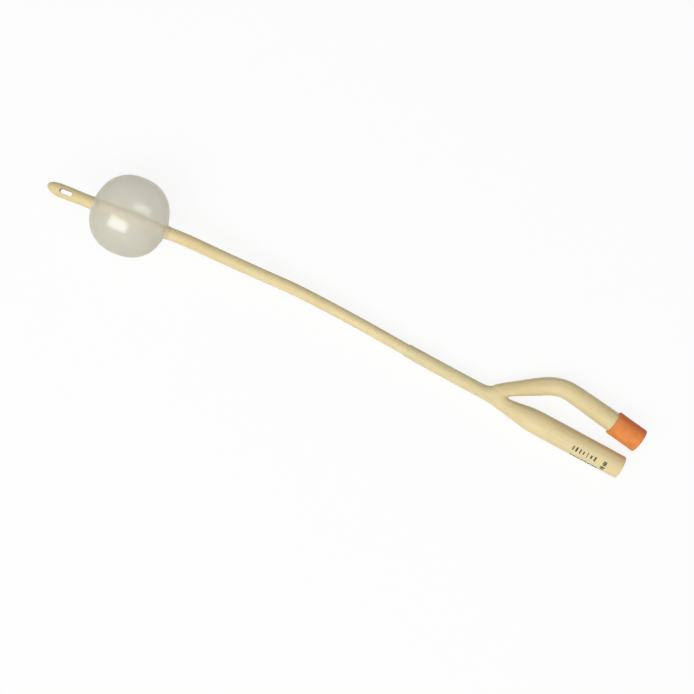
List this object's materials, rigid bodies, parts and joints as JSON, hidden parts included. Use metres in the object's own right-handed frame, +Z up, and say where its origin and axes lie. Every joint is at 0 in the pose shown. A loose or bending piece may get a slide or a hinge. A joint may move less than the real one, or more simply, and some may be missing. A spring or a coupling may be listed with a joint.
{
  "type": "balloon urinary catheter",
  "caption": "Dipped latex balloon catheter: closed rounded tip with side eyes, inflated balloon, curved tube, and a forked end with a drainage funnel and a ringed inflation valve.",
  "frame": {"origin": "bottom centre of the overall box, on the table that the catheter lies on", "axes": "+X along the drainage funnel towards its open end, +Y towards the side that the inflation arm leaves on, +Z up from the table"},
  "size_m": [0.284, 0.046, 0.036],
  "materials": {
    "latex": "smooth dipped latex with a soft satin sheen",
    "balloon_membrane": "thin stretched latex, milky and translucent, glossy",
    "orange_rubber": "satin coloured rubber",
    "plug_rubber": "matt moulded rubber"
  },
  "bodies": {
    "root": {"catheter_tube": "latex", "balloon": "balloon_membrane", "funnel_body": "latex", "valve_ring": "orange_rubber", "valve_plug": "plug_rubber"}
  },
  "joints": []
}
